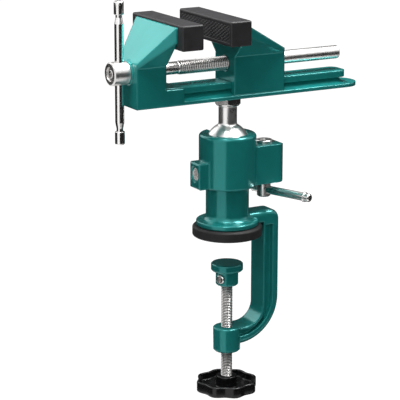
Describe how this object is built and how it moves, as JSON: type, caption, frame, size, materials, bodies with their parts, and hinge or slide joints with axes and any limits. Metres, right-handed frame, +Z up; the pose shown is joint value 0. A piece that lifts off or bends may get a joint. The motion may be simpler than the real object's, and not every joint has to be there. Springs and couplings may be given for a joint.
{
  "type": "ball joint vise",
  "caption": "Small table vise with capped jaws on a sliding rail, turning on a lockable ball joint above a C-clamp with a spindle, swivel pad and lobed hand wheel.",
  "frame": {"origin": "on the post's axis, at the underside of the rubber disc, where the bench top lies", "axes": "+Z up along the post; +X along the vise's screw from its handle to the rear; -Y towards the viewer in the picture"},
  "size_m": [0.2053, 0.0797, 0.3024],
  "materials": {
    "enamel": "gloss enamel",
    "jaw_rubber": "matt",
    "pad_rubber": "matt",
    "wheel_plastic": "satin",
    "bright_steel": "polished",
    "screw_steel": "turned and zinc plated",
    "bronze": "machined"
  },
  "bodies": {
    "clamp": {"clamp_frame": "enamel", "bench_disc": "pad_rubber", "ball_seat": "bronze"},
    "housing": {"socket_housing": "enamel", "guide_screw": "screw_steel"},
    "plunger": {"brake_plunger": "bronze"},
    "cam": {"cam_shaft": "bright_steel", "cam_lever": "bright_steel", "lever_knob": "bright_steel"},
    "ball": {"ball_stud": "bright_steel"},
    "head": {"base_rail": "enamel", "fixed_cap": "jaw_rubber", "stud_nut": "bright_steel"},
    "screw": {"lead_screw": "screw_steel", "screw_hub": "bright_steel", "hub_washer": "screw_steel", "screw_clip": "screw_steel", "bar_lock_screw": "screw_steel"},
    "handle": {"tommy_bar": "bright_steel", "bar_knob_upper": "bright_steel", "bar_knob_lower": "bright_steel"},
    "jaw": {"moving_jaw": "enamel", "moving_cap": "jaw_rubber", "jaw_nut": "bronze", "nut_lock_screw": "screw_steel"},
    "pad": {"swivel_pad": "enamel", "pad_screw": "bright_steel"},
    "wheel": {"spindle": "screw_steel", "hand_wheel": "wheel_plastic", "wheel_screw": "screw_steel"}
  },
  "joints": [
    {"name": "housing_swivel", "type": "hinge", "parent": "clamp", "child": "housing", "pos_m": [0, 0, 0.0693], "axis": [0, 0, 1], "continuous": true},
    {"name": "cam_lever_turn", "type": "hinge", "parent": "housing", "child": "cam", "pos_m": [0.0315, 0, 0.031], "axis": [0, 0, 1], "range_deg": [0, 80]},
    {"name": "plunger_slide", "type": "slide", "parent": "housing", "child": "plunger", "axis": [1, 0, 0], "range_m": [0, 0.00102]},
    {"name": "ball_tilt", "type": "hinge", "parent": "housing", "child": "ball", "pos_m": [0, 0, 0.0693], "axis": [-1, 0, 0], "range_deg": [-35, 90]},
    {"name": "head_turn", "type": "hinge", "parent": "ball", "child": "head", "pos_m": [0, 0, 0.0693], "axis": [0, 0, 1], "continuous": true},
    {"name": "screw_turn", "type": "hinge", "parent": "head", "child": "screw", "pos_m": [-0.0893, 0, 0.1294], "axis": [1, 0, 0], "range_deg": [-6725, 5165]},
    {"name": "jaw_slide", "type": "slide", "parent": "head", "child": "jaw", "axis": [1, 0, 0], "range_m": [-0.0215, 0.028]},
    {"name": "bar_slide", "type": "slide", "parent": "screw", "child": "handle", "axis": [0, 0, 1], "range_m": [-0.033, 0.033]},
    {"name": "pad_travel", "type": "slide", "parent": "clamp", "child": "pad", "axis": [0, 0, 1], "range_m": [-0.0325, 0.0195]},
    {"name": "spindle_turn", "type": "hinge", "parent": "pad", "child": "wheel", "pos_m": [0, 0, -0.1], "axis": [0, 0, 1], "range_deg": [-9365, 5621]}
  ],
  "couplings": [
    {"joint": "plunger_slide", "follows": "cam_lever_turn", "m_per_rad": 0.0007162},
    {"joint": "screw_turn", "follows": "jaw_slide", "rad_per_m": -4188.8},
    {"joint": "spindle_turn", "follows": "pad_travel", "rad_per_m": 5026.6}
  ]
}
